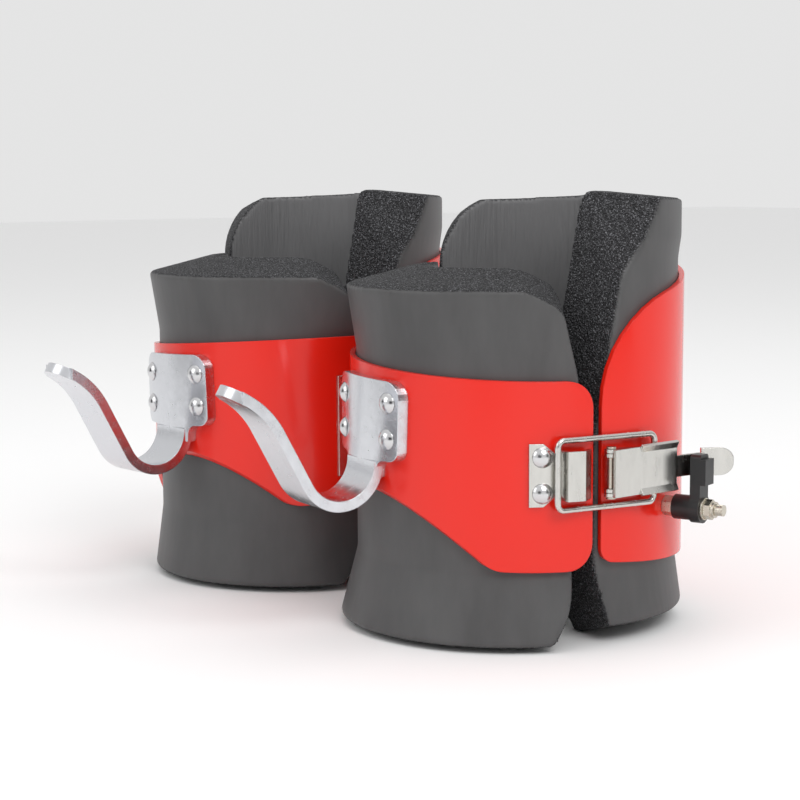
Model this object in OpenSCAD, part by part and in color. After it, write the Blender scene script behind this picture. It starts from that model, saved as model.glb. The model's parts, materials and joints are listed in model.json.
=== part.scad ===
// Pair of gravity (inversion) boots, standing side by side. Millimetres, Z up, floor at Z = 0.
// Boot A stands at +X with its latch shut and its catch locked. Boot B is its mirror image at -X,
// with the catch turned aside, the lever open and the bail off its keeper. Both boots hold the same
// padding, not mirrored.
// Boot frame: front and hook toward -Y, latch on the +X side, hinge on the -X side.

/* [Pair] */
// distance between the boot centres along X
boot_spacing = 161.8; // [155:0.1:220]
// how far boot B stands in front of boot A
boot_stagger = 17.2; // [0:0.1:40]
// toe-in of each boot, degrees
toe_in = 5.05; // [0:0.05:20]
// shift of the pair along X that centres its bounding box
pair_shift_x = 23.67; // [-40:0.01:60]
// shift of the pair along Y that centres its bounding box
pair_shift_y = 31.74; // [0:0.01:60]

/* [Shells] */
// outer radius of both shell halves
shell_r = 72.5; // [60:0.5:90]
// sheet thickness of the shells
shell_wall = 2.5; // [1.5:0.1:4]
// where the front shell ends beside the split
front_edge_y = -1.8; // [-4:0.1:0]
// gap between the shell halves at the latch and at the hinge
split_gap = 4.5; // [2:0.5:10]
// centre of the rear half's arc behind the front half's
rear_centre_y = 11.0; // [4:0.5:20]
// slope of the shell edges from the hinge side down to the latch side, degrees
edge_tilt = 3.9; // [0:0.1:8]
// top edge of the front shell
front_top_z = 122.3; // [100:0.1:150]
// bottom edge of the front shell beside the split
front_bottom_z = 39.3; // [20:0.1:60]
// bottom edge of the front shell at its foremost point
front_nose_z = 68.3; // [40:0.1:90]
// height of the rear shell's top edge behind the boot
rear_top_z = 168.0; // [130:0.1:200]
// height where its top edge would meet its split edge
rear_shoulder_z = 150.4; // [130:0.1:170]
// radius that rounds this shoulder
shoulder_r = 48; // [30:1:60]
// bottom edge of the rear shell beside the split
rear_bottom_z = 42.2; // [20:0.1:60]
// bottom edge of the rear shell behind the boot
rear_heel_z = 32.7; // [20:0.1:60]

/* [Foam] */
// inner radius of the padding
foam_in_r = 36.8; // [30:0.1:50]
// outer radius of the padding inside the shells
foam_out_r = 69.6; // [60:0.1:69.7]
// radius of the front padding's top rim
foam_rim_r = 74.0; // [70:0.5:80]
// radius of its bottom rim on boot A, spread by standing
rim_r_a = 78.0; // [70:0.5:82]
// radius of its bottom rim on boot B
rim_r_b = 74.0; // [70:0.5:82]
// radius of the rear padding's bottom rim
rear_foam_rim_r = 72.8; // [70:0.1:80]
// top of the front padding at its inner rim
front_foam_top = 166.5; // [140:0.5:180]
// top of the front padding at its outer rim
front_foam_rim = 156.9; // [140:0.1:170]
// peak of the cone that the rear padding's top lies on
rear_foam_top = 201.9; // [180:0.1:220]
// tilt of that top up toward the latch, degrees
rear_foam_tilt = 3.2; // [0:0.1:6]
// front edge of the rear padding beside the split
rear_foam_y = 0.8; // [0.5:0.1:4]

/* [Hook] */
// plate thickness of the hook
hook_t = 4.8; // [3:0.1:8]
// half width of the riveted plate
plate_half = 26.0; // [20:0.5:35]
// bottom and top of the riveted plate
plate_z0 = 82.0; // [70:0.5:90]
plate_z1 = 117.6; // [100:0.1:125]
// tilt of the riveted plate, degrees
plate_tilt = 2.05; // [0:0.05:5]
// half width of the hooked strap
strap_half = 12.5; // [8:0.5:18]
// centre line radius of the throat
throat_r = 18.5; // [12:0.1:25]
// height of the throat's centre
throat_z = 80.3; // [70:0.1:95]
// slope of the hook's arm, degrees above level
arm_slope = 61.5; // [45:0.5:80]
// straight length of the hook's arm
arm_len = 28.0; // [15:0.5:45]
// centre line radius of the turned-out lip
lip_r = 40.0; // [20:1:60]
// slope of the lip's end, degrees above level
lip_slope = 30.0; // [0:1:40]
// straight length after the lip's bend
lip_len = 8.0; // [2:0.5:15]

/* [Latch] */
// height of the latch above the floor
latch_z = 77.7; // [60:0.1:95]
// sheet thickness of the latch parts
sheet_t = 1.6; // [1:0.1:2.5]
// lever pivot
pivot_x = 77.8; // [75:0.1:82]
pivot_y = 4.0; // [2:0.1:8]
// radius of the pivot pin
pivot_r = 1.45; // [1:0.05:2]
// lean of the shut lever toward the shell, degrees
lever_lean = 10.8; // [0:0.1:20]
// outer face of the lever outside the pivot
lever_face = 4.8; // [3:0.1:7]
// half height of the lever's channel
lever_half = 10.45; // [8:0.05:14]
// bail: where its wire crosses the lever and the keeper
bail_lever_x = 74.6; // [72:0.1:80]
bail_lever_y = 29.4; // [20:0.1:40]
bail_keeper_x = 74.3; // [72:0.1:80]
bail_keeper_y = -21.3; // [-30:0.1:-15]
// radius of the bail's wire
wire_r = 1.4; // [0.8:0.05:2]
// half height of the bail
bail_half = 15.2; // [14.5:0.1:18]
// front face of the keeper's riser
riser_y = -18.9; // [-20:0.1:-15]
// how far boot B's lever stands open at rest, degrees
lever_open_b = 75; // [0:1:100]
// turn of the bail against the lever for each degree of the lever
bail_ratio = 0.65; // [0.4:0.05:1]

/* [Safety catch] */
// angle round the rear half, from -Y toward +X, degrees
catch_angle = 116.5; // [100:0.5:140]
// height of the catch's bolt
catch_z = 58.0; // [45:0.5:70]
// radius of the bolt
bolt_r = 2.5; // [2:0.1:4]
// where the arm's inner face stands off the shell
arm_off = 14.0; // [10:0.1:20]
// thickness of the arm
arm_t = 5.0; // [3:0.1:8]
// half width of the arm
arm_half = 4.3; // [3:0.1:7]
// height of the arm's top end
arm_top_z = 82.5; // [75:0.5:90]
// how far boot B's catch is turned aside at rest, degrees
catch_turn_b = 90; // [0:1:120]

/* [Hinge] */
// hinge pin, on the -X side
hinge_x = -76.2; // [-80:0.1:-75]
hinge_y = 2.0; // [0:0.5:6]
// radius of the hinge pin
hinge_pin_r = 1.5; // [1:0.1:2.5]
// outer radius of the knuckles
knuckle_r = 3.0; // [2.5:0.1:4]
// bottom and top of the hinge leaves
hinge_z0 = 58.0; // [45:1:70]
hinge_z1 = 108.0; // [90:1:120]

/* [Fasteners] */
// radius of the rivet shanks
shank_r = 2.0; // [1.5:0.1:3]
// radial clearance in rivet, bolt and pin holes
fit_gap = 0.05; // [0.02:0.01:0.1]

/* [Hidden] */
$fn = 48;
paint = [0.78, 0.10, 0.05];
steel = [0.74, 0.77, 0.82];
zinc = [0.80, 0.78, 0.70];
foam = [0.20, 0.20, 0.21];
plastic = [0.06, 0.06, 0.06];
shell_in = shell_r - shell_wall;
rear_edge_y = front_edge_y + split_gap;
hook_r = shell_r + hook_t;
leaf_r = shell_r + sheet_t;
pivot = [pivot_x, pivot_y];
bail_lever = [bail_lever_x, bail_lever_y];
bail_keeper = [bail_keeper_x, bail_keeper_y];
plate_mid = (plate_z0 + plate_z1) / 2;
catch_dir = [sin(catch_angle), -cos(catch_angle)];
catch_foot = [0, rear_centre_y] + shell_r * catch_dir;

// ---- helpers ----
function unit(v) = v / norm(v);
function half_angle(a, b, c) = acos(unit(a - b) * unit(c - b)) / 2;
function bend_centre(a, b, c, r) =
    b + unit(unit(a - b) + unit(c - b)) * r / sin(half_angle(a, b, c));
function tangent_point(a, b, c, r) = b + unit(a - b) * r / tan(half_angle(a, b, c));
function wrap(a) = a > 180 ? a - 360 : a < -180 ? a + 360 : a;
function bearing(v) = atan2(v.y, v.x);

// points of a corner at b rounded with radius r
function rounded_corner(a, b, c, r) =
    r == 0 ? [b] :
    let (m = bend_centre(a, b, c, r),
        s = bearing(tangent_point(a, b, c, r) - m),
        e = s + wrap(bearing(tangent_point(c, b, a, r) - m) - s),
        n = max(3, ceil(abs(e - s) / 10)))
    [for (i = [0 : n]) m + r * [cos(s + (e - s) * i / n), sin(s + (e - s) * i / n)]];

// closed outline from [x, y, corner radius] entries
function outline(p) = let (n = len(p), q = [for (v = p) [v.x, v.y]])
    [for (i = [0 : n - 1]) each rounded_corner(q[(i + n - 1) % n], q[i], q[(i + 1) % n], p[i].z)];

function left_of(a, b) = let (d = unit(b - a)) [-d.y, d.x];
function mitre(p, i) = let (n = len(p),
        u = left_of(p[max(i - 1, 0)], p[max(i, 1)]),
        v = left_of(p[min(i, n - 2)], p[min(i + 1, n - 1)]),
        m = unit(u + v)) m / (m * u);
// strip of thickness t on the left of a run of points
function strip(p, t) = concat(p, [for (i = [len(p) - 1 : -1 : 0]) p[i] + t * mitre(p, i)]);

// children placed as boot A and as boot B
module on_a() {
    translate([boot_spacing / 2 + pair_shift_x, boot_stagger / 2 + pair_shift_y, 0])
        rotate([0, 0, -toe_in])
            children();
}

module on_b() {
    translate([pair_shift_x - boot_spacing / 2, pair_shift_y - boot_stagger / 2, 0])
        rotate([0, 0, toe_in])
            mirror([1, 0, 0])
                children();
}

// side outline in (Y, Z) drawn through the whole width
module across(width) {
    rotate([90, 0, 90])
        linear_extrude(width, center = true)
            children();
}

// local +X points outward at an angle from -Y toward +X
module at_angle(t, centre_y = 0) {
    translate([0, centre_y, 0])
        rotate([0, 0, t - 90])
            children();
}

// cylinder along local +X from r0 to r1
module radial_rod(r0, r1, r) {
    translate([r0, 0, 0])
        rotate([0, 90, 0])
            cylinder(h = r1 - r0, r = r);
}

module ring(r0, r1, z0, z1) {
    translate([0, 0, z0])
        difference() {
            cylinder(h = z1 - z0, r = r1);
            translate([0, 0, -1])
                cylinder(h = z1 - z0 + 2, r = r0);
        }
}

// dome-headed rivet seated on radius seat, its tail flush inside the shell
module rivet(seat, head_r, head_h) {
    tail = sqrt(shell_in * shell_in - shank_r * shank_r);
    cap_r = (head_r * head_r + head_h * head_h) / (2 * head_h);
    half = asin(head_r / cap_r);
    translate([seat, 0, 0])
        rotate([0, 90, 0])
            rotate_extrude($fn = 32)
                polygon(concat([[0, tail - seat], [shank_r, tail - seat], [shank_r, 0]],
                    [for (i = [8 : -1 : 0]) [cap_r * sin(half * i / 8),
                        head_h - cap_r + cap_r * cos(half * i / 8)]]));
}

module rivet_hole() {
    radial_rod(shell_in - 5, shell_r + 12, shank_r + fit_gap);
}

module hex_nut(s0, s1, across_flats) {
    translate([s0, 0, 0])
        rotate([0, 90, 0])
            difference() {
                cylinder(h = s1 - s0, r = across_flats / sqrt(3), $fn = 6);
                translate([0, 0, -1])
                    cylinder(h = s1 - s0 + 2, r = bolt_r + fit_gap);
            }
}

// ---- fastener places ----
module at_hook_rivets() {
    for (t = [-14.6, 14.6], z = [-8, 8])
        translate([0, 0, plate_mid + z - hook_r * sin(t) * tan(plate_tilt)])
            at_angle(t + z * plate_tilt / hook_r)
                children();
}

module at_keeper_rivets() {
    for (z = [-7.9, 7.9])
        translate([0, 0, latch_z + z])
            at_angle(69.5)
                children();
}

module at_base_rivets() {
    for (y = [11, 20])
        translate([0, 0, latch_z])
            at_angle(90 + asin((y - rear_centre_y) / shell_r), rear_centre_y)
                children();
}

module at_hinge_rivets_front() {
    for (z = [0.16, 0.5, 0.84])
        translate([0, 0, hinge_z0 + z * (hinge_z1 - hinge_z0)])
            at_angle(-80)
                children();
}

module at_hinge_rivets_rear() {
    for (z = [0.16, 0.5, 0.84])
        translate([0, 0, hinge_z0 + z * (hinge_z1 - hinge_z0)])
            at_angle(-98, rear_centre_y)
                children();
}

// local +X along the catch's bolt, origin on the shell's outer face
module at_catch() {
    translate([catch_foot.x, catch_foot.y, catch_z])
        rotate([0, 0, catch_angle - 90])
            children();
}

// ---- shells ----
module front_shell() {
    color(paint)
        difference() {
            intersection() {
                ring(shell_in, shell_r, 20, 140);
                rotate([0, edge_tilt, 0])
                    across(180)
                        polygon(outline([[front_edge_y, front_top_z, 12], [-90, front_top_z, 0],
                            [-90, front_nose_z + 17.8, 0], [-44, front_bottom_z, 10],
                            [front_edge_y, front_bottom_z, 12]]));
            }
            at_hook_rivets()
                rivet_hole();
            at_keeper_rivets()
                rivet_hole();
            at_hinge_rivets_front()
                rivet_hole();
        }
}

module rear_side() {
    polygon(outline([[rear_edge_y, rear_bottom_z, 7], [rear_edge_y, rear_shoulder_z, shoulder_r],
        [95, rear_top_z, 0], [95, rear_heel_z, 0]]));
}

module rear_plan(r) {
    intersection() {
        translate([0, rear_centre_y])
            circle(r = r, $fn = 96);
        translate([-100, rear_centre_y])
            square([200, 100]);
    }
    translate([-r, 0])
        square([2 * r, rear_centre_y]);
}

module rear_shell() {
    color(paint)
        difference() {
            intersection() {
                translate([0, 0, 15])
                    linear_extrude(165)
                        difference() {
                            rear_plan(shell_r);
                            translate([0, -1])
                                rear_plan(shell_in);
                            rear_plan(shell_in);
                        }
                rotate([0, edge_tilt, 0])
                    across(190)
                        rear_side();
            }
            at_base_rivets()
                rivet_hole();
            at_hinge_rivets_rear()
                rivet_hole();
            at_catch()
                radial_rod(-shell_wall - 3, 3, bolt_r + fit_gap);
        }
}

// ---- padding ----
// its ends: slanted across the hinge side, and twisted back on the latch side
module front_foam_plan() {
    polygon([[0, -36.4], [-66.9, 3], [-100, 3], [-100, -100], [100, -100], [100, -0.6], [0, -0.6]]);
}

module front_foam(bottom_r) {
    color(foam)
        intersection() {
            rotate_extrude($fn = 96)
                polygon(outline([[foam_in_r, 10, 12], [foam_in_r + 4, 0, 0], [foam_in_r + 10, 0, 0],
                    [bottom_r, 2.6, 1.2], [foam_out_r, 34, 0], [foam_out_r, 127.5, 0],
                    [foam_rim_r, front_foam_rim, 1.5], [foam_in_r, front_foam_top, 4]]));
            translate([0, 0, -1])
                linear_extrude(200)
                    front_foam_plan();
            rotate([0, 0, -29])
                rotate([0, 12.5, 0])
                    across(300)
                        polygon(outline([[24.6, 22, 30], [24.6, 48, 0], [27.5, 75, 0], [27.5, 128, 30],
                            [20, 160, 12], [3, 169.5, 25], [-110, 182, 0],
                            [-110, -20, 0], [-10, -20, 0], [-10, 4, 0]]));
        }
}

module rear_foam_section() {
    polygon(outline([[foam_in_r, 10, 12], [foam_in_r + 4, 0, 0], [foam_in_r + 10, 0, 0],
        [rear_foam_rim_r, 8, 1.5], [foam_out_r, 31, 0], [foam_out_r, 168, 0],
        [foam_out_r + 1.4, 178, 0], [foam_out_r + 1.4, 220, 0], [foam_in_r, 220, 0]]));
}

// swept back beside the latch, slanted beside the hinge, and topped by a shallow tilted cone
module rear_foam() {
    color(foam)
        intersection() {
            difference() {
                union() {
                    translate([0, rear_centre_y, 0])
                        rotate_extrude(angle = 180, $fn = 96)
                            rear_foam_section();
                    for (side = [0, 1])
                        mirror([side, 0, 0])
                            translate([0, rear_centre_y, 0])
                                rotate([90, 0, 0])
                                    linear_extrude(rear_centre_y + 5 + 15 * side)
                                        rear_foam_section();
                }
                translate([60, 0, 0])
                    across(100)
                        polygon(outline([[-20, -5, 0], [11, -5, 0], [rear_foam_y, 36, 30],
                            [rear_foam_y, 230, 0], [-20, 230, 0]]));
                rotate([0, 45, 0])
                    translate([-45, 0, 0])
                        across(160)
                            polygon(outline([[rear_foam_y - 1, 110, 0], [9, 143, 30], [14.5, 163, 10],
                                [38, 183.6, 60], [100, 225, 0], [100, 290, 0],
                                [rear_foam_y - 1, 290, 0]]));
                translate([0, rear_centre_y, rear_foam_top])
                    rotate([0, -rear_foam_tilt, 0])
                        rotate([0, 0, -90])
                            rotate_extrude($fn = 96)
                                polygon([[20, -2.8], [120, -16.8], [120, 45], [20, 45]]);
            }
            rotate([0, 0, -30.5])
                across(300)
                    polygon(outline([[-30.6, -10, 0], [-30.6, 192.5, 36], [100, 215, 0],
                        [100, -10, 0]]));
        }
}

// ---- hook ----
module arc_band(r, t, from, to) {
    intersection() {
        difference() {
            circle(r = r + t / 2, $fn = 96);
            circle(r = r - t / 2, $fn = 96);
        }
        polygon(concat([[0, 0]],
            [for (i = [0 : 6]) 3 * r * [cos(from + (to - from) * i / 6),
                sin(from + (to - from) * i / 6)]]));
    }
}

throat_c = [-shell_r - hook_t / 2 - throat_r, throat_z];
arm_dir = [-cos(arm_slope), sin(arm_slope)];
arm_foot = throat_c + throat_r * [-sin(arm_slope), -cos(arm_slope)];
arm_end = arm_foot + arm_len * arm_dir;
lip_c = arm_end + lip_r * [-sin(arm_slope), -cos(arm_slope)];
lip_dir = [-cos(lip_slope), sin(lip_slope)];
lip_foot = lip_c + lip_r * [sin(lip_slope), cos(lip_slope)];
lip_end = lip_foot + lip_len * lip_dir;

module strap_side() {
    translate([-hook_r, throat_z])
        square([hook_t, 0.5]);
    translate(throat_c)
        arc_band(throat_r, hook_t, -90 - arm_slope, 0);
    translate(arm_foot)
        rotate(180 - arm_slope)
            translate([0, -hook_t / 2])
                square([arm_len, hook_t]);
    translate(lip_c)
        arc_band(lip_r, hook_t, 90 - arm_slope, 90 - lip_slope);
    translate(lip_foot)
        rotate(180 - lip_slope)
            translate([0, -hook_t / 2])
                square([lip_len, hook_t]);
}

module hook() {
    color(steel)
        difference() {
            union() {
                intersection() {
                    ring(shell_r, hook_r, plate_z0 - 12, plate_z1 + 10);
                    translate([0, 0, plate_mid])
                        rotate([90, plate_tilt, 0])
                            linear_extrude(100)
                                polygon(outline([[plate_half, plate_z1 - plate_mid, 8],
                                    [-plate_half, plate_z1 - plate_mid, 8],
                                    [-plate_half, plate_z0 - plate_mid, 5],
                                    [-strap_half - 1, plate_z0 - plate_mid, 5],
                                    [-strap_half, -26, 0], [strap_half, -26, 0],
                                    [strap_half + 1, plate_z0 - plate_mid, 5],
                                    [plate_half, plate_z0 - plate_mid, 5]]));
                }
                intersection() {
                    across(2 * strap_half)
                        strap_side();
                    union() {
                        translate([-50, lip_foot.x - 2, 0])
                            cube([100, 100, 150]);
                        translate([0, lip_end.x, lip_end.y])
                            rotate([-lip_slope, 0, 0])
                                translate([0, strap_half, -20])
                                    cylinder(h = 40, r = strap_half);
                    }
                }
            }
            at_hook_rivets()
                rivet_hole();
        }
}

module hook_rivets() {
    color(steel)
        at_hook_rivets()
            rivet(hook_r, 4.8, 2.5);
}

// ---- keeper ----
module keeper() {
    color(steel)
        difference() {
            union() {
                intersection() {
                    ring(shell_r, leaf_r, latch_z - 20, latch_z + 20);
                    translate([0, 0, latch_z])
                        at_angle(69.5)
                            rotate([90, 0, 90])
                                linear_extrude(100)
                                    polygon([[-5.9, -13.75], [0.4, -13.75], [5.7, -9.2],
                                        [8.2, -9.2], [8.2, 9.2], [5.7, 9.2], [0.4, 13.75],
                                        [-5.9, 13.75]]);
                }
                translate([0, 0, latch_z - 10.85])
                    linear_extrude(21.7)
                        polygon(strip([[70.8, riser_y], [78.7, riser_y], [80, -10.8],
                            [75.3, -4.6]], sheet_t));
            }
            at_keeper_rivets()
                rivet_hole();
        }
}

module keeper_rivets() {
    color(steel)
        at_keeper_rivets()
            rivet(leaf_r, 4.6, 2.3);
}

// ---- hinge ----
// the leaves' knuckles share five heights, the front leaf with three of them
module knuckles(first) {
    step = (hinge_z1 - hinge_z0) / 5;
    for (i = [first : 2 : 4])
        translate([0, 0, hinge_z0 + i * step + (i > 0 ? 0.15 : 0)])
            linear_extrude(step - (i > 0 && i < 4 ? 0.3 : 0.15))
                children();
}

module front_knuckle_plan() {
    translate([hinge_x, hinge_y])
        circle(r = knuckle_r);
    translate([-leaf_r, -1.5])
        square([sheet_t, hinge_y + 1.5]);
}

module rear_knuckle_plan() {
    translate([hinge_x, hinge_y])
        circle(r = knuckle_r);
    translate([-leaf_r, hinge_y])
        square([sheet_t, 2.7]);
}

module hinge_bore() {
    translate([hinge_x, hinge_y, hinge_z0 - 1])
        cylinder(h = hinge_z1 - hinge_z0 + 2, r = hinge_pin_r + fit_gap);
}

module hinge_leaf_front() {
    color(steel)
        difference() {
            union() {
                intersection() {
                    ring(shell_r, leaf_r, hinge_z0, hinge_z1);
                    translate([-100, -24, hinge_z0 - 1])
                        cube([100, 23.5, hinge_z1 - hinge_z0 + 2]);
                }
                knuckles(0)
                    front_knuckle_plan();
            }
            hinge_bore();
            at_hinge_rivets_front()
                rivet_hole();
        }
}

module hinge_leaf_rear() {
    color(steel)
        difference() {
            union() {
                intersection() {
                    translate([0, rear_centre_y, 0])
                        ring(shell_r, leaf_r, hinge_z0, hinge_z1);
                    translate([-100, rear_centre_y, hinge_z0 - 1])
                        cube([100, 20, hinge_z1 - hinge_z0 + 2]);
                }
                translate([-leaf_r, hinge_y + 2.2, hinge_z0])
                    cube([sheet_t, rear_centre_y - hinge_y - 2.2, hinge_z1 - hinge_z0]);
                knuckles(1)
                    rear_knuckle_plan();
            }
            hinge_bore();
            at_hinge_rivets_rear()
                rivet_hole();
        }
}

module hinge_pin() {
    color(zinc)
        translate([hinge_x, hinge_y, 0]) {
            translate([0, 0, hinge_z0 - 1])
                cylinder(h = hinge_z1 - hinge_z0 + 2, r = hinge_pin_r);
            for (z = [hinge_z0 - 1.2, hinge_z1 + 0.2])
                translate([0, 0, z])
                    cylinder(h = 1, r = 2.4);
        }
}

module hinge_rivets_front() {
    color(steel)
        at_hinge_rivets_front()
            rivet(leaf_r, 3.2, 1.6);
}

module hinge_rivets_rear() {
    color(steel)
        at_hinge_rivets_rear()
            rivet(leaf_r, 3.2, 1.6);
}

// ---- latch ----
module ear_plan() {
    translate(pivot)
        circle(r = 2.9);
    polygon([[shell_r + 0.3, 6.5], [pivot_x - 2.4, pivot_y - 1.6], [pivot_x + 1.6, pivot_y + 2.4],
        [shell_r + 1, 17], [shell_r - 0.4, 17]]);
}

module latch_base() {
    color(steel)
        difference() {
            union() {
                intersection() {
                    translate([0, rear_centre_y, latch_z - 8.55])
                        ring(shell_r, leaf_r, 0, 17.1);
                    translate([0, rear_centre_y, 0])
                        cube([100, 14.5, 120]);
                }
                translate([shell_r, 5.5, latch_z - 8.55])
                    cube([sheet_t, rear_centre_y - 5.5, 17.1]);
                difference() {
                    for (z = [-8.55, 6.95])
                        translate([0, 0, latch_z + z])
                            linear_extrude(sheet_t)
                                ear_plan();
                    translate([0, rear_centre_y, latch_z - 20])
                        cylinder(h = 40, r = shell_r + 0.2);
                }
            }
            translate([pivot_x, pivot_y, latch_z - 20])
                cylinder(h = 40, r = pivot_r + fit_gap);
            at_base_rivets()
                rivet_hole();
        }
}

module latch_base_rivets() {
    color(steel)
        at_base_rivets()
            rivet(leaf_r, 3.2, 1.6);
}

module latch_pivot_pin() {
    color(zinc)
        translate([pivot_x, pivot_y, latch_z]) {
            cylinder(h = 22, r = pivot_r, center = true);
            for (z = [-11.4, 10.6])
                translate([0, 0, z])
                    cylinder(h = 0.8, r = 2.1);
        }
}

// turned open about the lever's pivot
module lever_turned(turn) {
    translate([pivot_x, pivot_y, 0])
        rotate([0, 0, -turn])
            translate([-pivot_x, -pivot_y, 0])
                children();
}

// lever frame: X outward, Y along the lever, Z from the latch's middle
module lever_frame() {
    translate([pivot_x, pivot_y, latch_z])
        rotate([0, 0, lever_lean])
            children();
}

lever_end = 37.2;
lever_bail = [cos(lever_lean) * (bail_lever_x - pivot_x) + sin(lever_lean) * (bail_lever_y - pivot_y),
    cos(lever_lean) * (bail_lever_y - pivot_y) - sin(lever_lean) * (bail_lever_x - pivot_x)];

module lever_flange_plan() {
    circle(r = 2.9);
    polygon([[-2.9, 0], [lever_face, -2], [lever_face, 14.5], [lever_face - sheet_t, 14.5],
        [-1.6, 4]]);
}

module latch_lever(turn) {
    color(steel)
        lever_turned(turn)
            lever_frame()
                difference() {
                    union() {
                        translate([lever_face - sheet_t, -2, -lever_half])
                            cube([sheet_t, 17, 2 * lever_half]);
                        for (z = [-lever_half, lever_half - sheet_t])
                            translate([0, 0, z])
                                linear_extrude(sheet_t)
                                    lever_flange_plan();
                        translate([0, 14, 0])
                            rotate([-90, 0, 0])
                                linear_extrude(lever_end - 14)
                                    polygon(strip([[lever_face + 1.3, -10.7], [lever_face, -8],
                                        [lever_face, 8], [lever_face + 1.3, 10.7]], sheet_t));
                        translate([0, 0, -5.3])
                            linear_extrude(9.6)
                                polygon(strip([[lever_face, lever_end - 1],
                                    [lever_face, lever_end + 0.6],
                                    [lever_face + 1.4, lever_end + 14.5],
                                    [lever_face + 3.2, lever_end + 18]], sheet_t));
                        intersection() {
                            translate([0, 0, -6.2])
                                linear_extrude(12.6)
                                    polygon(strip([[lever_face + 1.4, lever_end + 14.5],
                                        [lever_face + 9.6, lever_end + 28.2]], sheet_t));
                            translate([0, lever_end + 18.6, 0.1])
                                rotate([0, 90, 0])
                                    linear_extrude(40)
                                        polygon(outline([[-6.3, -8, 2], [-6.3, 9, 5.5],
                                            [6.3, 9, 5.5], [6.3, -8, 2]]));
                        }
                        for (z = [-5.6, 4])
                            translate([0, 0, z])
                                linear_extrude(sheet_t) {
                                    translate(lever_bail)
                                        circle(r = 2.6);
                                    translate([lever_bail.x, lever_bail.y - 2.6])
                                        square([lever_face - sheet_t / 2 - lever_bail.x, 5.2]);
                                }
                    }
                    cylinder(h = 40, r = pivot_r + fit_gap, center = true);
                    translate([lever_bail.x, lever_bail.y, 0])
                        cylinder(h = 20, r = wire_r + fit_gap, center = true);
                }
}

// closed loop of wire through points in the plane
module wire_loop(p, bend) {
    n = len(p);
    for (i = [0 : n - 1]) {
        a = p[(i + n - 1) % n];
        b = p[i];
        c = p[(i + 1) % n];
        d = p[(i + 2) % n];
        m = bend_centre(a, b, c, bend);
        s = tangent_point(a, b, c, bend);
        e = tangent_point(c, b, a, bend);
        next = tangent_point(b, c, d, bend);
        sweep = wrap(bearing(e - m) - bearing(s - m));
        translate(m)
            rotate([0, 0, bearing(sweep > 0 ? s - m : e - m)])
                rotate_extrude(angle = abs(sweep))
                    translate([bend, 0])
                        circle(r = wire_r, $fn = 24);
        translate(e)
            rotate([0, 0, bearing(next - e)])
                rotate([90, 0, 90])
                    cylinder(h = norm(next - e), r = wire_r, $fn = 24);
    }
}

module bail(turn) {
    reach = norm(bail_keeper - bail_lever);
    color(steel)
        lever_turned(turn)
            translate([bail_lever.x, bail_lever.y, latch_z])
                rotate([0, 0, bearing(bail_keeper - bail_lever) + bail_ratio * turn])
                    rotate([90, 0, 0])
                        wire_loop([[0, -bail_half], [reach, -bail_half],
                            [reach, bail_half], [0, bail_half]], 3);
}

// ---- safety catch ----
module safety_bolt() {
    color(zinc)
        at_catch()
            radial_rod(-shell_wall + 0.05, 28.7, bolt_r);
}

module safety_base_nut() {
    color(zinc)
        at_catch()
            hex_nut(0, 5.3, 8);
}

module safety_spacer() {
    color(plastic)
        at_catch()
            difference() {
                radial_rod(5.3, arm_off - 0.1, 5.6);
                radial_rod(0, arm_off + 1, bolt_r + fit_gap);
            }
}

module safety_arm(turn) {
    top = arm_top_z - catch_z;
    color(plastic)
        at_catch()
            rotate([turn, 0, 0])
                difference() {
                    union() {
                        radial_rod(arm_off, arm_off + arm_t - 0.1, 6.5);
                        translate([arm_off, 0, 0])
                            rotate([90, 0, 90])
                                linear_extrude(arm_t - 0.1)
                                    polygon(outline([[-arm_half, 0, 0], [arm_half, 0, 0],
                                        [arm_half, top, 2], [-arm_half, top, 2]]));
                        translate([arm_off + 1, -arm_half, top - 13.5])
                            cube([arm_t + 1.5, 2 * arm_half, 11.5]);
                    }
                    radial_rod(0, 40, bolt_r + fit_gap);
                }
}

module safety_washer() {
    color(zinc)
        at_catch()
            difference() {
                radial_rod(arm_off + arm_t, arm_off + arm_t + 1, 5);
                radial_rod(0, 40, bolt_r + fit_gap);
            }
}

module safety_locknut() {
    color(zinc)
        at_catch() {
            hex_nut(arm_off + arm_t + 1, arm_off + arm_t + 4.4, 8);
            difference() {
                radial_rod(arm_off + arm_t + 4.4, arm_off + arm_t + 5.8, 3.6);
                radial_rod(0, 40, bolt_r + fit_gap);
            }
        }
}

// ---- the two boots ----
module a_front_shell() {
    on_a()
        front_shell();
}

module a_front_foam() {
    on_a()
        front_foam(rim_r_a);
}

module a_hook() {
    on_a()
        hook();
}

module a_hook_rivets() {
    on_a()
        hook_rivets();
}

module a_keeper() {
    on_a()
        keeper();
}

module a_keeper_rivets() {
    on_a()
        keeper_rivets();
}

module a_hinge_leaf_front() {
    on_a()
        hinge_leaf_front();
}

module a_hinge_rivets_front() {
    on_a()
        hinge_rivets_front();
}

module a_hinge_pin() {
    on_a()
        hinge_pin();
}

module a_hinge_leaf_rear() {
    on_a()
        hinge_leaf_rear();
}

module a_hinge_rivets_rear() {
    on_a()
        hinge_rivets_rear();
}

module a_rear_shell() {
    on_a()
        rear_shell();
}

module a_rear_foam() {
    on_a()
        rear_foam();
}

module a_latch_base() {
    on_a()
        latch_base();
}

module a_latch_base_rivets() {
    on_a()
        latch_base_rivets();
}

module a_latch_pivot_pin() {
    on_a()
        latch_pivot_pin();
}

module a_latch_lever() {
    on_a()
        latch_lever(0);
}

module a_bail() {
    on_a()
        bail(0);
}

module a_safety_bolt() {
    on_a()
        safety_bolt();
}

module a_safety_base_nut() {
    on_a()
        safety_base_nut();
}

module a_safety_spacer() {
    on_a()
        safety_spacer();
}

module a_safety_arm() {
    on_a()
        safety_arm(0);
}

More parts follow.
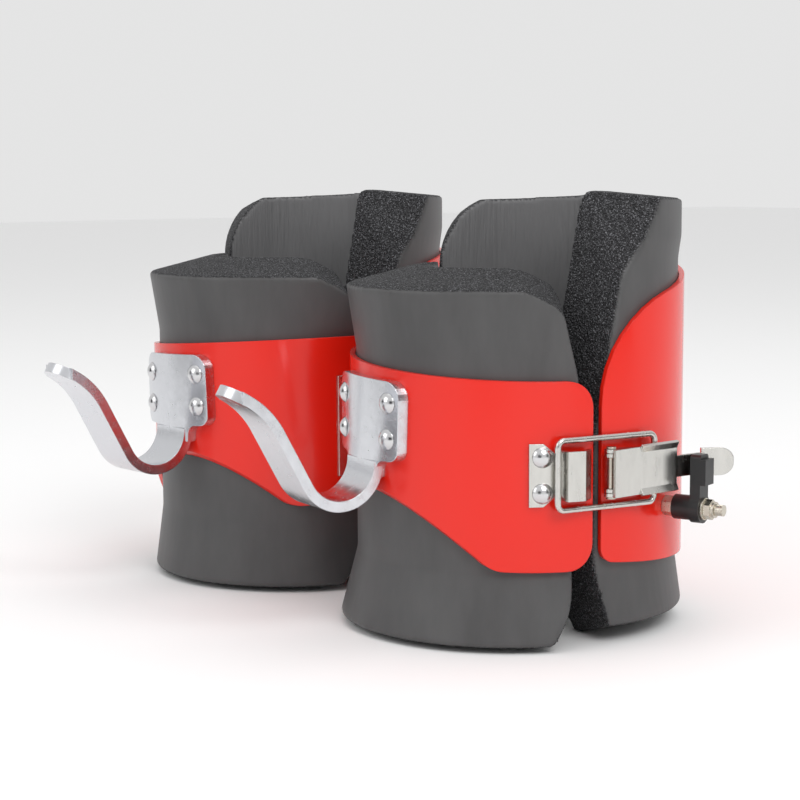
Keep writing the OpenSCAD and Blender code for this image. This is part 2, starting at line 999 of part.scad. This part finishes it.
module a_safety_washer() {
    on_a()
        safety_washer();
}

module a_safety_locknut() {
    on_a()
        safety_locknut();
}

module b_front_shell() {
    on_b()
        front_shell();
}

module b_front_foam() {
    on_b()
        mirror([1, 0, 0])
            front_foam(rim_r_b);
}

module b_hook() {
    on_b()
        hook();
}

module b_hook_rivets() {
    on_b()
        hook_rivets();
}

module b_keeper() {
    on_b()
        keeper();
}

module b_keeper_rivets() {
    on_b()
        keeper_rivets();
}

module b_hinge_leaf_front() {
    on_b()
        hinge_leaf_front();
}

module b_hinge_rivets_front() {
    on_b()
        hinge_rivets_front();
}

module b_hinge_pin() {
    on_b()
        hinge_pin();
}

module b_hinge_leaf_rear() {
    on_b()
        hinge_leaf_rear();
}

module b_hinge_rivets_rear() {
    on_b()
        hinge_rivets_rear();
}

module b_rear_shell() {
    on_b()
        rear_shell();
}

module b_rear_foam() {
    on_b()
        mirror([1, 0, 0])
            rear_foam();
}

module b_latch_base() {
    on_b()
        latch_base();
}

module b_latch_base_rivets() {
    on_b()
        latch_base_rivets();
}

module b_latch_pivot_pin() {
    on_b()
        latch_pivot_pin();
}

module b_latch_lever() {
    on_b()
        latch_lever(lever_open_b);
}

module b_bail() {
    on_b()
        bail(lever_open_b);
}

module b_safety_bolt() {
    on_b()
        safety_bolt();
}

module b_safety_base_nut() {
    on_b()
        safety_base_nut();
}

module b_safety_spacer() {
    on_b()
        safety_spacer();
}

module b_safety_arm() {
    on_b()
        safety_arm(catch_turn_b);
}

module b_safety_washer() {
    on_b()
        safety_washer();
}

module b_safety_locknut() {
    on_b()
        safety_locknut();
}

a_front_shell();
a_front_foam();
a_hook();
a_hook_rivets();
a_keeper();
a_keeper_rivets();
a_hinge_leaf_front();
a_hinge_rivets_front();
a_hinge_pin();
a_hinge_leaf_rear();
a_hinge_rivets_rear();
a_rear_shell();
a_rear_foam();
a_latch_base();
a_latch_base_rivets();
a_latch_pivot_pin();
a_latch_lever();
a_bail();
a_safety_bolt();
a_safety_base_nut();
a_safety_spacer();
a_safety_arm();
a_safety_washer();
a_safety_locknut();
b_front_shell();
b_front_foam();
b_hook();
b_hook_rivets();
b_keeper();
b_keeper_rivets();
b_hinge_leaf_front();
b_hinge_rivets_front();
b_hinge_pin();
b_hinge_leaf_rear();
b_hinge_rivets_rear();
b_rear_shell();
b_rear_foam();
b_latch_base();
b_latch_base_rivets();
b_latch_pivot_pin();
b_latch_lever();
b_bail();
b_safety_bolt();
b_safety_base_nut();
b_safety_spacer();
b_safety_arm();
b_safety_washer();
b_safety_locknut();
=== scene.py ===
import json
import math

import bpy
import numpy as np
from mathutils import Matrix, Vector, noise


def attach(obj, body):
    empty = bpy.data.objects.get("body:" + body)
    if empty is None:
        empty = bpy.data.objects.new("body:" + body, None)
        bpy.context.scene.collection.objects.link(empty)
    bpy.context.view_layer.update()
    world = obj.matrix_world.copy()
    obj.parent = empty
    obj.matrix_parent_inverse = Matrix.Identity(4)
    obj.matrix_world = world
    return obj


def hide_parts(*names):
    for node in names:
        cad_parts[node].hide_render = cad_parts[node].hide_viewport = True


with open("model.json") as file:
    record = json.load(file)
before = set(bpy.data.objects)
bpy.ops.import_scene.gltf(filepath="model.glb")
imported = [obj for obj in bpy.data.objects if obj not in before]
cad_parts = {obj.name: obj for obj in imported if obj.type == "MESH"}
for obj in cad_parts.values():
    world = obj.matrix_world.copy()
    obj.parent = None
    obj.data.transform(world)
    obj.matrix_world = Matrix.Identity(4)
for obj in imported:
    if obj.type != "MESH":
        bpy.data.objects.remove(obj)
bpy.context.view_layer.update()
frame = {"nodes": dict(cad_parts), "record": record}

# the boots' places in the row frame, in metres and degrees, as in the part's source
SPACING, STAGGER, TOE_IN = 0.1618, 0.0172, 5.05
PAIR_X, PAIR_Y = 0.02367, 0.03174
REAR_CENTRE = 0.011  # the rear half's arc is centred this far behind the boot's own origin

# padding: the mesh size, and how squarely a face must look along the radius to count as skin
VOXEL = 0.0013
SOFTENING, SOFTENING_STEPS = 0.5, 3
SKIN_FROM, SKIN_FADE = 0.62, 0.18
INNER_MIN, CUT_BELOW = 0.05, 0.5
# depth of the relief: creases in the bore, grain on the cut faces, and swells on the outside
CREASE, GRAIN, SWELL = 0.00028, 0.00010, 0.00018
# how quickly the relief changes: per radian around the bore, and per metre elsewhere
CREASE_AROUND, CREASE_UP, CREASE_SLICE = 26, 22, 3.1
GRAIN_SCALE = 900
SWELL_ACROSS, SWELL_UP = 30, 14

# a Mix node's colour sockets, which share their names with its other kinds of socket
MIX_A, MIX_B, MIX_RESULT = 6, 7, 2

scene = bpy.context.scene


def boot_matrix(side):
    """Places a boot's own frame (front toward -Y, latch toward +X) in the row frame. Boot B's is
    mirrored."""
    s = 1 if side == "a" else -1
    place = Matrix.Translation((PAIR_X + s * SPACING / 2, PAIR_Y + s * STAGGER / 2, 0))
    turn = Matrix.Rotation(math.radians(-s * TOE_IN), 4, "Z")
    return place @ turn @ Matrix.Diagonal((s, 1, 1, 1))


# ---- nodes ----
def shader_of(m):
    return m.node_tree.nodes["Principled BSDF"]


def material(name, color, metallic=0.0, roughness=0.5, **sockets):
    m = bpy.data.materials.new(name)
    m.use_nodes = True
    shader = shader_of(m)
    shader.inputs["Base Color"].default_value = (*color, 1)
    shader.inputs["Metallic"].default_value = metallic
    shader.inputs["Roughness"].default_value = roughness
    for key, value in sockets.items():
        shader.inputs[key.replace("_", " ")].default_value = value
    return m


def node(m, kind, **inputs):
    n = m.node_tree.nodes.new(kind)
    for key, value in inputs.items():
        n.inputs[key.replace("_", " ")].default_value = value
    return n


def link(m, source, out, target, into):
    m.node_tree.links.new(source.outputs[out], target.inputs[into])


def object_coords(m, scale):
    """Object coordinates stretched by scale."""
    coord = node(m, "ShaderNodeTexCoord")
    mapping = node(m, "ShaderNodeMapping", Scale=scale)
    link(m, coord, "Object", mapping, "Vector")
    return mapping


def texture(m, kind, stretch, **inputs):
    """A texture node laid on object coordinates that are stretched by stretch."""
    n = node(m, kind, **inputs)
    link(m, object_coords(m, stretch), "Vector", n, "Vector")
    return n


def attribute(m, name):
    n = node(m, "ShaderNodeAttribute")
    n.attribute_name = name
    return n


def product(m, source, out, mask):
    """Multiplies a texture's value by a mask attribute."""
    n = node(m, "ShaderNodeMath")
    n.operation = "MULTIPLY"
    link(m, source, out, n, 0)
    link(m, mask, "Fac", n, 1)
    return n


def color_mix(m, blend="MIX"):
    n = node(m, "ShaderNodeMix")
    n.data_type = "RGBA"
    n.blend_type = blend
    return n


def relief(m, height, out, strength, distance):
    n = node(m, "ShaderNodeBump", Strength=strength, Distance=distance)
    link(m, height, out, n, "Height")
    return n


def bump(m, height, out, strength, distance, onto):
    """Puts relief on the surface, on top of the normals that the onto node gives."""
    n = relief(m, height, out, strength, distance)
    link(m, onto, "Normal", n, "Normal")
    link(m, n, "Normal", shader_of(m), "Normal")


def soft_edges(m, radius):
    """Catches the light along sharp edges, as if they were rounded by radius."""
    n = node(m, "ShaderNodeBevel", Radius=radius)
    n.samples = 4
    return n


def ramp(m, source, out, stops):
    r = node(m, "ShaderNodeValToRGB")
    elements = r.color_ramp.elements
    while len(elements) < len(stops):
        elements.new(0.5)
    for element, (at, color) in zip(elements, stops):
        element.position = at
        element.color = (*color, 1)
    link(m, source, out, r, "Fac")
    return r


# ---- materials ----
def steel(name, color, roughness, grain, depth):
    """Metal with fine grain in its gloss."""
    m = material(name, color, metallic=1.0, roughness=roughness)
    n = texture(m, "ShaderNodeTexNoise", grain, Scale=1.0, Detail=4.0, Roughness=0.6)
    glossy, dull = (roughness * 0.75,) * 3, (roughness * 1.35,) * 3
    gloss = ramp(m, n, "Fac", [(0.3, glossy), (0.7, dull)])
    link(m, gloss, "Color", shader_of(m), "Roughness")
    bump(m, n, "Fac", strength=0.25, distance=depth, onto=soft_edges(m, radius=0.0005))
    return m


def paint():
    """Glossy red paint with a faint ripple."""
    m = material("shell_paint", (0.80, 0.016, 0.006), roughness=0.24,
                 Coat_Weight=0.25, Coat_Roughness=0.05, Specular_IOR_Level=0.35)
    ripple = texture(m, "ShaderNodeTexNoise", (1, 1, 1), Scale=9.0, Detail=2.0, Roughness=0.5)
    bump(m, ripple, "Fac", strength=0.15, distance=0.002, onto=soft_edges(m, radius=0.0009))
    return m


def foam_pores(m, pores):
    """The cells of a cut face, with painted shade darkening each pit toward its centre, and bright
    specks over them.
    """
    grit = texture(m, "ShaderNodeTexNoise", (1, 1, 1), Scale=1500.0, Detail=2.0, Roughness=0.7)
    # painted shade: each cell is darkest at its centre, where the pit is deepest, standing in for the
    # shade inside the pit
    pit_shade_stops = [(0.0, (0.003, 0.003, 0.004)), (0.5, (0.010, 0.010, 0.011)), (0.85, (0.045, 0.045, 0.048))]
    dark = ramp(m, pores, "Distance", pit_shade_stops)
    speck = ramp(m, grit, "Fac", [(0.55, (0, 0, 0)), (0.68, (0.20, 0.20, 0.215))])
    porous = color_mix(m, "ADD")
    porous.inputs["Factor"].default_value = 1.0
    link(m, dark, "Color", porous, MIX_A)
    link(m, speck, "Color", porous, MIX_B)
    return porous


def foam_skin(m, inner):
    """The faintly cloudy skin, with painted light making it paler in the bore."""
    cloud = texture(m, "ShaderNodeTexNoise", (60, 60, 18), Scale=1.0, Detail=5.0, Roughness=0.6)
    skin = ramp(m, cloud, "Fac", [(0.3, (0.068, 0.067, 0.068)), (0.7, (0.088, 0.087, 0.088))])
    # painted light: the bore's skin gets a paler colour, standing in for the light that reaches into
    # the bore
    painted_bore_light = color_mix(m)
    painted_bore_light.inputs[MIX_B].default_value = (0.155, 0.154, 0.157, 1)
    link(m, inner, "Fac", painted_bore_light, "Factor")
    link(m, skin, "Color", painted_bore_light, MIX_A)
    return painted_bore_light


def foam():
    """Closed-cell foam: a satin skin, wrinkled in the bore and painted paler there as painted light,
    and open pores on the cut faces with painted shade in their pits. The mesh's cut and inner
    attributes say which face is which."""
    m = material("foam", (0.06, 0.06, 0.062), Specular_IOR_Level=0.4)
    cut = attribute(m, "cut")
    inner = attribute(m, "inner")
    pores = texture(m, "ShaderNodeTexVoronoi", (1, 1, 1), Scale=1000.0)
    color = color_mix(m)
    link(m, cut, "Fac", color, "Factor")
    link(m, foam_skin(m, inner), MIX_RESULT, color, MIX_A)
    link(m, foam_pores(m, pores), MIX_RESULT, color, MIX_B)
    link(m, color, MIX_RESULT, shader_of(m), "Base Color")
    rough = node(m, "ShaderNodeMapRange", To_Min=0.46, To_Max=0.8)
    link(m, cut, "Fac", rough, "Value")
    link(m, rough, "Result", shader_of(m), "Roughness")
    # fine upright wrinkles in the bore, with the pores' pits on top
    wrinkle = texture(m, "ShaderNodeTexNoise", (420, 420, 40), Scale=1.0, Detail=3.0, Roughness=0.55)
    wrinkles = relief(m, product(m, wrinkle, "Fac", inner), "Value", strength=0.8, distance=0.0012)
    pits = product(m, pores, "Distance", cut)
    bump(m, pits, "Value", strength=0.9, distance=0.0012, onto=wrinkles)
    return m


FOAM = foam()
FINISH = {
    "shell_paint": paint(),
    "foam": FOAM,
    "hook_steel": steel("hook_steel", (0.68, 0.69, 0.72), 0.22, (220, 220, 220), 0.00008),
    "plated_steel": steel("plated_steel", (0.62, 0.61, 0.58), 0.22, (300, 300, 90), 0.00006),
    "rivet_steel": steel("rivet_steel", (0.66, 0.66, 0.67), 0.18, (400, 400, 400), 0.00004),
    "zinc_steel": steel("zinc_steel", (0.60, 0.56, 0.48), 0.3, (500, 500, 500), 0.0001),
    "black_plastic": material("black_plastic", (0.012, 0.012, 0.013), roughness=0.36),
}
for part in frame["record"]["subparts"]:
    mesh = frame["nodes"][part["node"]].data
    mesh.materials.clear()
    mesh.materials.append(FINISH[part["material_slot"]])


# ---- padding ----
def fine_mesh(o):
    """Gives o an even, fine mesh of its own shape, with softened edges."""
    remesh = o.modifiers.new("remesh", "REMESH")
    remesh.mode = "VOXEL"
    remesh.voxel_size = VOXEL
    soften = o.modifiers.new("soften", "SMOOTH")
    soften.factor = SOFTENING
    soften.iterations = SOFTENING_STEPS
    bpy.context.view_layer.update()
    shaped = o.evaluated_get(bpy.context.evaluated_depsgraph_get())
    mesh = bpy.data.meshes.new_from_object(shaped)
    o.modifiers.clear()
    o.data = mesh
    return mesh


def vectors(items, key):
    """One row of x, y and z for each of a mesh's items."""
    flat = np.zeros(len(items) * 3)
    items.foreach_get(key, flat)
    return flat.reshape(-1, 3)


def padding(side, half):
    """A fine-meshed foam half made over its CAD solid, with grain on the cut faces and creases in
    the bore."""
    source = frame["nodes"][f"{side}_{half}_foam"]
    o = bpy.data.objects.new(f"{side}_{half}_padding", source.data.copy())
    scene.collection.objects.link(o)
    mesh = fine_mesh(o)
    co = vectors(mesh.vertices, "co")
    normal = vectors(mesh.vertex_normals, "vector")
    to_boot = np.array(boot_matrix(side).inverted())
    local = co @ to_boot[:3, :3].T + to_boot[:3, 3]
    facing = normal @ to_boot[:3, :3].T

    # a face that looks away from the bore's axis, or toward it, is skin, and the rest are cut
    off = local[:, :2].copy()
    if half == "rear":
        off[:, 1] = np.maximum(off[:, 1] - REAR_CENTRE, 0)
    outward = off / np.linalg.norm(off, axis=1)[:, None]
    across = (facing[:, :2] * outward).sum(1)
    skin = np.clip((np.abs(across) - SKIN_FROM) / SKIN_FADE, 0, 1)
    inner = skin * (across < 0)
    for name, values in (("cut", 1 - skin), ("inner", inner)):
        layer = mesh.attributes.new(name, "FLOAT", "POINT")
        layer.data.foreach_set("value", values.astype(np.float32))

    # creases run up and down the bore, and the other faces are lightly uneven
    angle = np.arctan2(off[:, 1], off[:, 0])
    move = np.zeros(len(co))
    for i, (x, y, z) in enumerate(local):
        if inner[i] > INNER_MIN:
            at = Vector((angle[i] * CREASE_AROUND, CREASE_SLICE, z * CREASE_UP))
            move[i] = inner[i] * CREASE * noise.noise(at)
        elif skin[i] < CUT_BELOW:
            move[i] = GRAIN * noise.noise(Vector(co[i] * GRAIN_SCALE))
        else:
            at = Vector((x * SWELL_ACROSS, y * SWELL_ACROSS, z * SWELL_UP))
            move[i] = SWELL * noise.noise(at)
    co += normal * move[:, None]
    mesh.vertices.foreach_set("co", co.reshape(-1))
    mesh.update()
    mesh.materials.clear()
    mesh.materials.append(FOAM)
    mesh.shade_smooth()
    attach(o, f"{side}_{half}")
    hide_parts(f"{side}_{half}_foam")


for side in "ab":
    for half in ("front", "rear"):
        padding(side, half)

# ---- floor, light and camera ----
MIDDLE = Vector((PAIR_X, PAIR_Y, 0.1))
FLOOR_SIZE, FLOOR_DROP = 14, 0.0003
WORLD_STRENGTH = 0.78

bpy.ops.mesh.primitive_plane_add(size=FLOOR_SIZE, location=(0, 0, -FLOOR_DROP))
floor = bpy.context.object
floor.name = "floor"
floor.data.materials.append(material("floor", (0.93, 0.93, 0.93), roughness=0.9))

world = bpy.data.worlds.new("studio")
scene.world = world
world.use_nodes = True
background = world.node_tree.nodes["Background"]
background.inputs["Color"].default_value = (1, 1, 1, 1)
background.inputs["Strength"].default_value = WORLD_STRENGTH

CARD = material("card", (0.05, 0.05, 0.055), roughness=0.9)


def card(name, at, width, height):
    """A dark panel that bright metal and paint can mirror, unseen in the picture itself."""
    bpy.ops.mesh.primitive_plane_add(size=1, location=at)
    o = bpy.context.object
    o.name = name
    o.scale = (width, height, 1)
    o.rotation_euler = (MIDDLE - Vector(at)).to_track_quat("Z", "Y").to_euler()
    o.data.materials.append(CARD)
    o.visible_camera = False
    o.visible_shadow = False


def area_light(name, at, size, power):
    """A square soft light that faces the middle of the pair."""
    data = bpy.data.lights.new(name, "AREA")
    data.energy = power
    data.size = size
    o = bpy.data.objects.new(name, data)
    o.location = at
    o.rotation_euler = (MIDDLE - Vector(at)).to_track_quat("-Z", "Y").to_euler()
    scene.collection.objects.link(o)


card("card_near", (1.25, -1.35, 0.35), width=0.9, height=0.8)
card("card_right", (1.5, 0.75, 0.3), width=0.9, height=0.7)
card("card_left", (-0.9, -1.4, 0.3), width=0.8, height=0.7)
area_light("key", (1.5, -0.1, 1.4), size=0.9, power=13)
area_light("fill", (-0.3, -1.7, 1.0), size=1.2, power=6)
area_light("top", (0.0, 0.2, 2.0), size=1.6, power=7)

# the camera stands in front of boot A's hook and latch, a little above the boots
PITCH, ROLL = math.radians(7.9), math.radians(-0.42)
HEADING = Vector((-0.8266, 0.5628, 0)).normalized()
STANDS_AT = (0.7864 + PAIR_X, -0.5382 + PAIR_Y, 0.2079)
SENSOR, FOCAL_LENGTH = 36, 86.7
SHIFT_X, SHIFT_Y = 0.0144, 0.048
NEAREST = 0.05

forward = HEADING * math.cos(PITCH) - Vector((0, 0, math.sin(PITCH)))
right = forward.cross(Vector((0, 0, 1))).normalized()
up = right.cross(forward)
aim = Matrix((right, up, -forward)).transposed().to_4x4()
lens = bpy.data.cameras.new("camera")
lens.sensor_width = SENSOR
lens.lens = FOCAL_LENGTH
lens.shift_x = SHIFT_X
lens.shift_y = SHIFT_Y
lens.clip_start = NEAREST
camera = bpy.data.objects.new("camera", lens)
camera.matrix_world = Matrix.Translation(STANDS_AT) @ aim @ Matrix.Rotation(ROLL, 4, "Z")
scene.collection.objects.link(camera)
scene.camera = camera
scene.view_settings.view_transform = "Standard"
scene.view_settings.look = "None"
